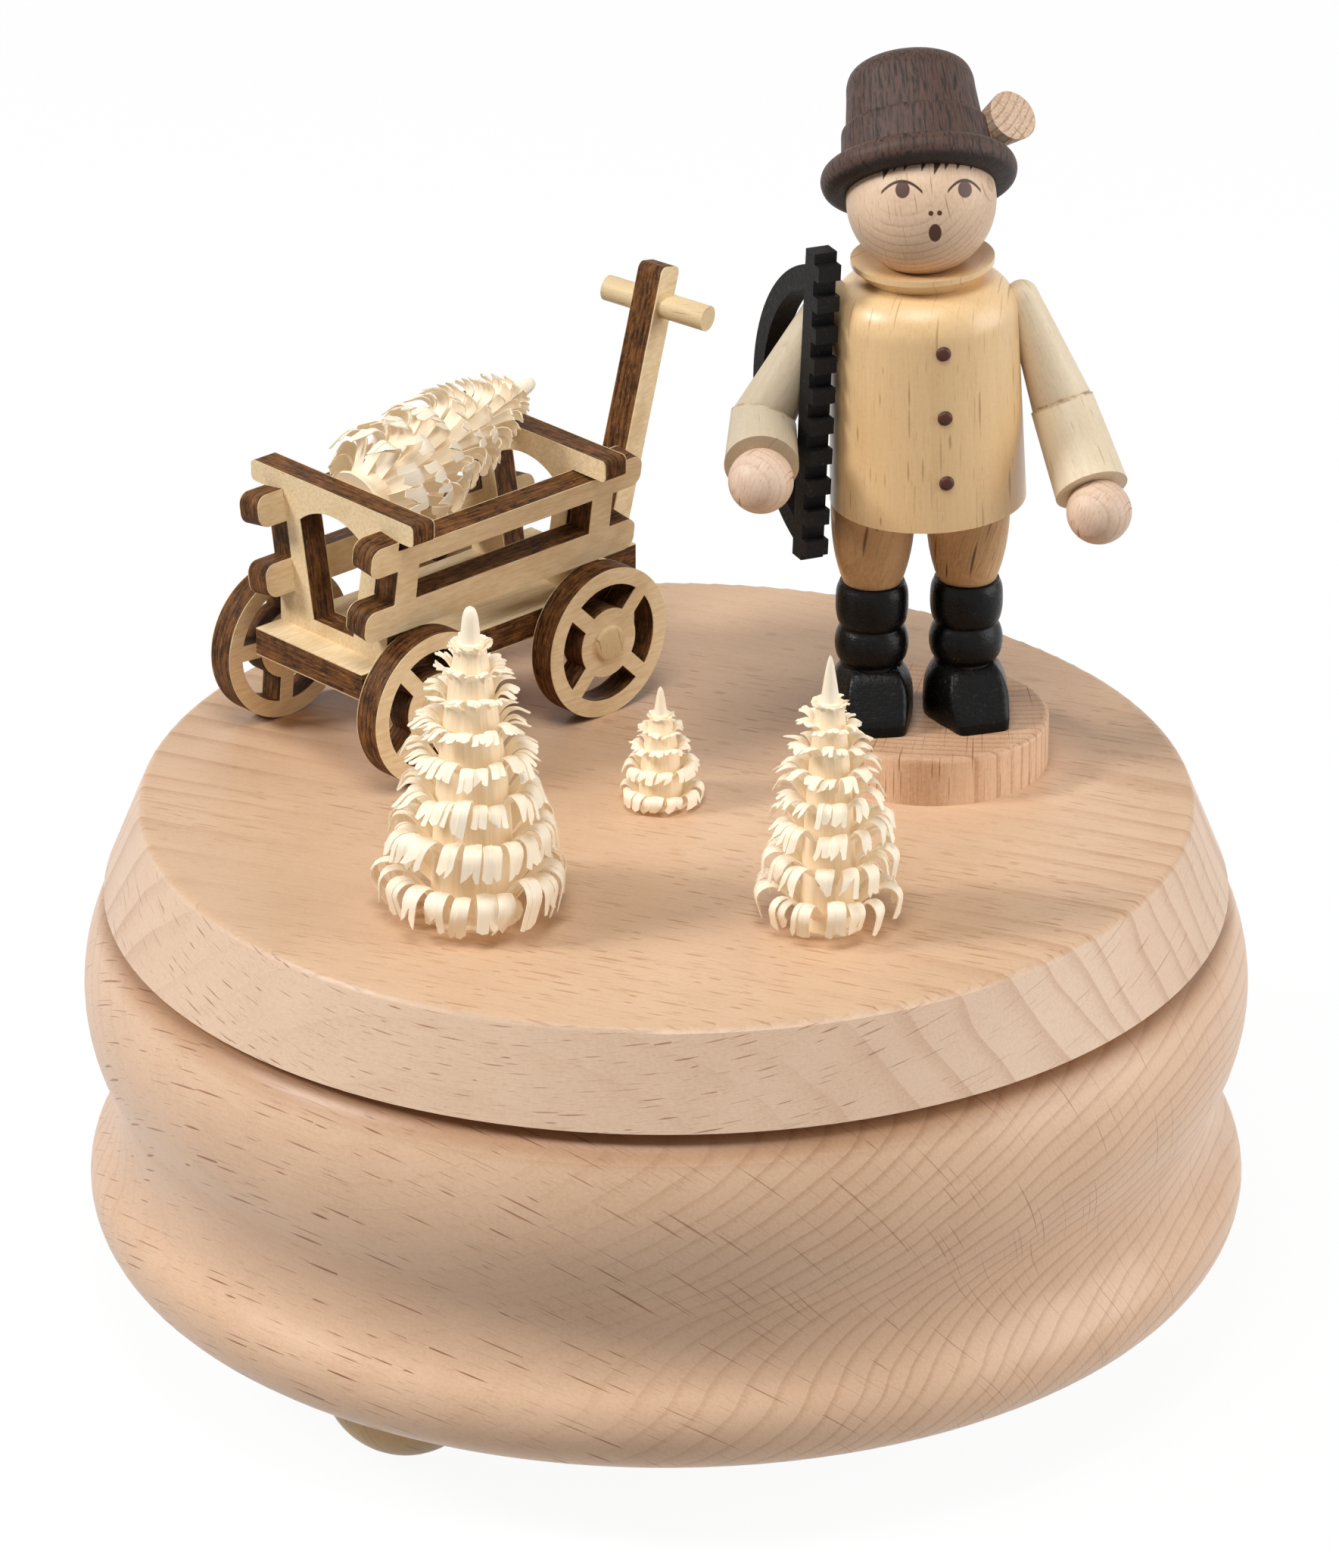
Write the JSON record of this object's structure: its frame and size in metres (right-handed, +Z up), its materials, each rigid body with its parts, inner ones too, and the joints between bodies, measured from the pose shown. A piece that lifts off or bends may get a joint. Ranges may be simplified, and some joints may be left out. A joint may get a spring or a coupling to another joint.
{
  "type": "music box",
  "caption": "Turned beech music box: a plate carrying a woodman, a loaded handcart and shaved trees turns on a round base that hides a pinned-cylinder movement.",
  "frame": {"origin": "on the base's axis, at the level the three feet stand on", "axes": "+Z up along the turntable's axis, -Y towards the viewer of the picture, +X to the viewer's right"},
  "size_m": [0.105, 0.105, 0.1149],
  "materials": {
    "turned_beech": "fine turned, bare",
    "stand_beech": "sawn end grain, bare",
    "board_wood": "plain",
    "foot_wood": "turned",
    "steel": "bright",
    "brass": "turned",
    "zinc": "die cast",
    "nylon": "plain",
    "boot_black": "black gloss stain",
    "saw_black": "black matt stain",
    "trouser_wood": "stained tan",
    "coat_wood": "satin clear coat",
    "head_wood": "sanded",
    "hat_wood": "dark brown stain",
    "tuft_wood": "sanded",
    "sleeve_wood": "pale stain",
    "hand_wood": "sanded",
    "plywood": "laser cut, burnt edges",
    "dowel_wood": "sanded",
    "shaved_wood": "shaved"
  },
  "bodies": {
    "base": {"base_body": "turned_beech", "bottom_board": "board_wood", "board_screws": "steel", "ball_feet": "foot_wood", "spindle_bush": "brass", "glide_washer": "nylon", "bedplate": "zinc", "movement_screws": "steel", "spring_barrel": "brass", "mainspring": "steel", "comb": "steel", "comb_screws": "steel", "cylinder_bracket": "zinc", "governor_frame": "zinc"},
    "turntable": {"drive_spindle": "steel", "crown_wheel": "brass", "turntable_plate": "turned_beech", "figure_stand": "stand_beech", "boot_left": "boot_black", "boot_right": "boot_black", "leg_left": "trouser_wood", "leg_right": "trouser_wood", "coat": "coat_wood", "head": "head_wood", "hat": "hat_wood", "hat_tuft": "tuft_wood", "upper_arm_left": "sleeve_wood", "upper_arm_right": "sleeve_wood", "forearm_left": "sleeve_wood", "forearm_right": "sleeve_wood", "hand_left": "hand_wood", "hand_right": "hand_wood", "bow_saw": "saw_black", "cart_floor": "plywood", "cart_tailboard": "plywood", "cart_headboard": "plywood", "cart_side_left": "plywood", "cart_side_right": "plywood", "wheel_front_left": "plywood", "wheel_front_right": "plywood", "wheel_rear_left": "plywood", "wheel_rear_right": "plywood", "axle_front": "dowel_wood", "axle_rear": "dowel_wood", "drawbar": "plywood", "drawbar_handle": "dowel_wood", "felled_tree": "shaved_wood", "tree_large": "shaved_wood", "tree_medium": "shaved_wood", "tree_small": "shaved_wood"},
    "cylinder": {"pinned_cylinder": "brass", "cylinder_arbor": "steel", "cylinder_wheel": "brass"},
    "governor": {"governor_wheel": "brass"},
    "worm": {"governor_worm": "brass"}
  },
  "joints": [
    {"name": "turntable_spin", "type": "hinge", "parent": "base", "child": "turntable", "pos_m": [0, 0, 0], "axis": [0, 0, 1], "continuous": true},
    {"name": "cylinder_spin", "type": "hinge", "parent": "base", "child": "cylinder", "pos_m": [0, 0, 0.01773], "axis": [1, 0, 0], "continuous": true},
    {"name": "governor_spin", "type": "hinge", "parent": "base", "child": "governor", "pos_m": [0, 0.0035, 0.02379], "axis": [1, 0, 0], "continuous": true},
    {"name": "worm_spin", "type": "hinge", "parent": "base", "child": "worm", "pos_m": [0.0336, 0.00845, 0], "axis": [0, 0, 1], "continuous": true}
  ],
  "couplings": [
    {"joint": "cylinder_spin", "follows": "turntable_spin", "ratio": -3},
    {"joint": "governor_spin", "follows": "turntable_spin", "ratio": 12},
    {"joint": "worm_spin", "follows": "turntable_spin", "ratio": -288}
  ]
}
